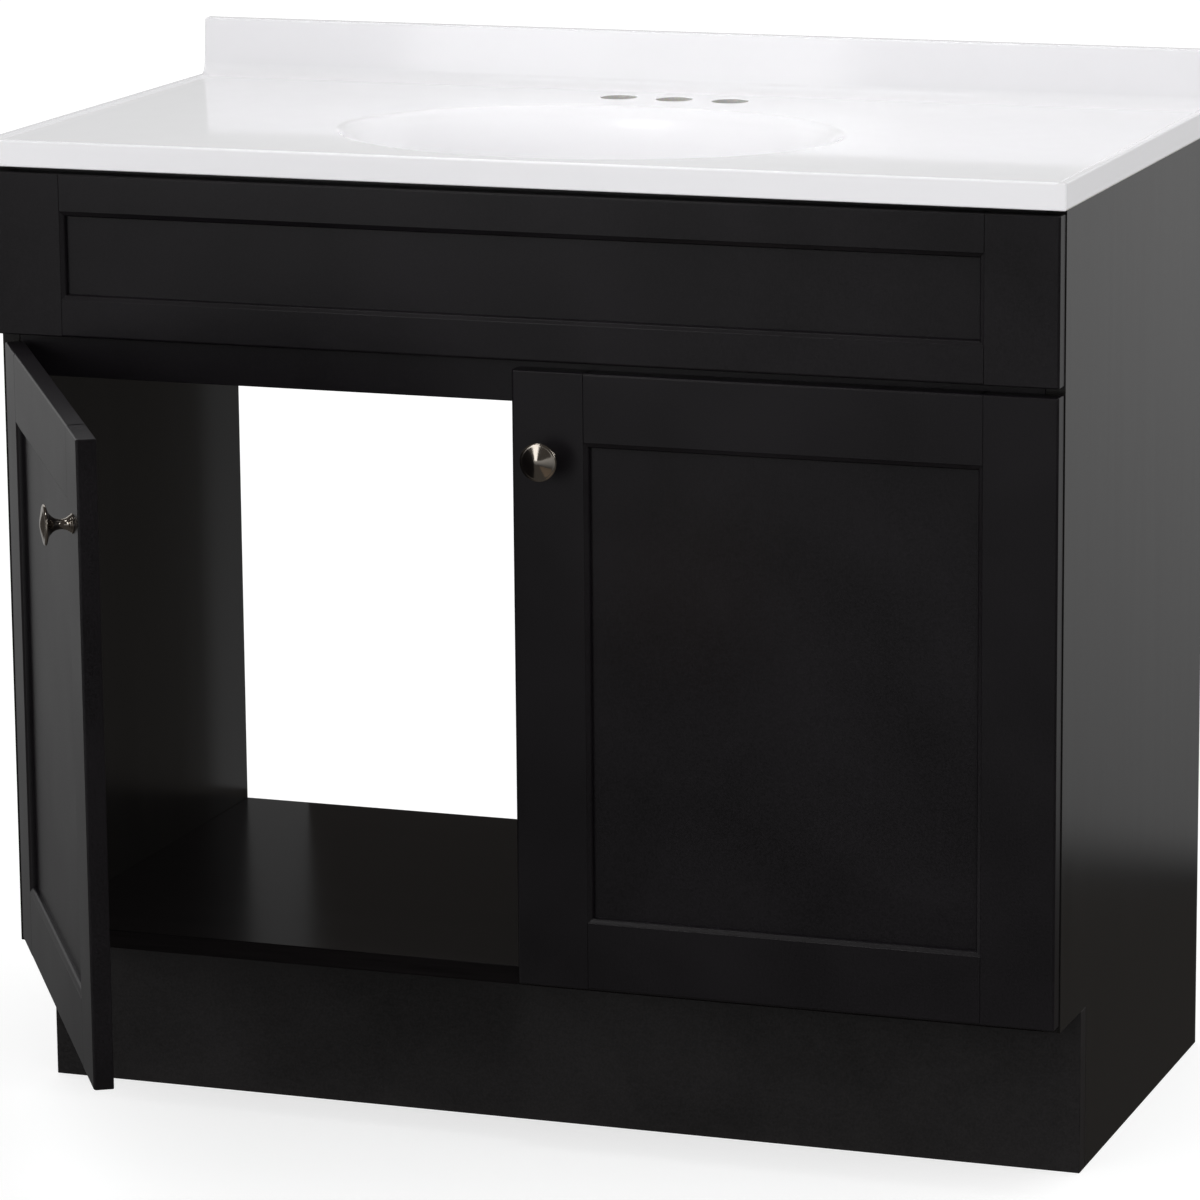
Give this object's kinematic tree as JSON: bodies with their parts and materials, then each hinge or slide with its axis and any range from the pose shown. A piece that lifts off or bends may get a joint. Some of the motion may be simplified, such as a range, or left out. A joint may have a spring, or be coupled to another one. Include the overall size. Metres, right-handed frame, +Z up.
{
  "type": "bathroom vanity cabinet",
  "caption": "Freestanding bathroom vanity: dark open-backed cabinet with hinged framed doors, a false front, trumpet knobs and a white cast top with an oval bowl.",
  "frame": {"origin": "on the floor, midway across the cabinet, in the plane of its back, which stands against the wall", "axes": "+X to the right seen from the front, +Y towards the wall, +Z up"},
  "size_m": [0.9228, 0.8564, 0.8748],
  "materials": {
    "top": "glossy white gel coat over cast marble",
    "side": "near-black laminate with a fine grain, low sheen",
    "interior": "dark espresso melamine board",
    "front": "near-black espresso satin paint over board",
    "raw_wood": "unfinished pine and beech",
    "nickel": "satin nickel",
    "zinc": "bright zinc plate",
    "bumper": "clear soft polymer"
  },
  "bodies": {
    "cabinet": {"back_top_rail": "interior", "carcass_cam_bolts": "zinc", "carcass_cams": "zinc", "carcass_dowels": "raw_wood", "deck_panel": "interior", "false_front_bottom_rail": "front", "false_front_left_stile": "front", "false_front_panel": "front", "false_front_right_stile": "front", "false_front_screws": "zinc", "false_front_top_rail": "front", "front_top_rail": "interior", "left_back_corner_block": "raw_wood", "left_front_corner_block": "raw_wood", "left_hinge_arm_pins": "zinc", "left_hinge_arms": "zinc", "left_hinge_plate_screws": "zinc", "left_hinge_plates": "zinc", "left_side_panel": "side", "rear_base_rail": "interior", "right_back_corner_block": "raw_wood", "right_front_corner_block": "raw_wood", "right_hinge_arm_pins": "zinc", "right_hinge_arms": "zinc", "right_hinge_plate_screws": "zinc", "right_hinge_plates": "zinc", "right_side_panel": "side", "toe_kick_board": "front", "vanity_top": "top"},
    "left_hinge_link": {"left_hinge_links": "zinc"},
    "left_door": {"left_door_bottom_rail": "front", "left_door_bumpers": "bumper", "left_door_hinge_stile": "front", "left_door_knob": "nickel", "left_door_knob_screw": "zinc", "left_door_knob_stile": "front", "left_door_panel": "front", "left_door_top_rail": "front", "left_hinge_cup_pins": "zinc", "left_hinge_cup_screws": "zinc", "left_hinge_cups": "zinc"},
    "right_hinge_link": {"right_hinge_links": "zinc"},
    "right_door": {"right_door_bottom_rail": "front", "right_door_bumpers": "bumper", "right_door_hinge_stile": "front", "right_door_knob": "nickel", "right_door_knob_screw": "zinc", "right_door_knob_stile": "front", "right_door_panel": "front", "right_door_top_rail": "front", "right_hinge_cup_pins": "zinc", "right_hinge_cup_screws": "zinc", "right_hinge_cups": "zinc"}
  },
  "joints": [
    {"name": "left_hinge_link_swing", "type": "hinge", "parent": "cabinet", "child": "left_hinge_link", "pos_m": [-0.4155, -0.4407, 0.3995], "axis": [0, 0, 1], "range_deg": [-29.01, 23.51]},
    {"name": "left_door_hinge", "type": "hinge", "parent": "left_hinge_link", "child": "left_door", "pos_m": [-0.43178, -0.47259, 0.3995], "axis": [0, 0, -1], "range_deg": [-87, 70.5]},
    {"name": "right_hinge_link_swing", "type": "hinge", "parent": "cabinet", "child": "right_hinge_link", "pos_m": [0.4155, -0.4407, 0.3995], "axis": [0, 0, -1], "range_deg": [-0.01, 52.51]},
    {"name": "right_door_hinge", "type": "hinge", "parent": "right_hinge_link", "child": "right_door", "pos_m": [0.4452, -0.4607, 0.3995], "axis": [0, 0, 1], "range_deg": [0, 157.5]}
  ],
  "couplings": [
    {"joint": "left_hinge_link_swing", "follows": "left_door_hinge", "ratio": 0.33333},
    {"joint": "right_hinge_link_swing", "follows": "right_door_hinge", "ratio": 0.33333}
  ]
}
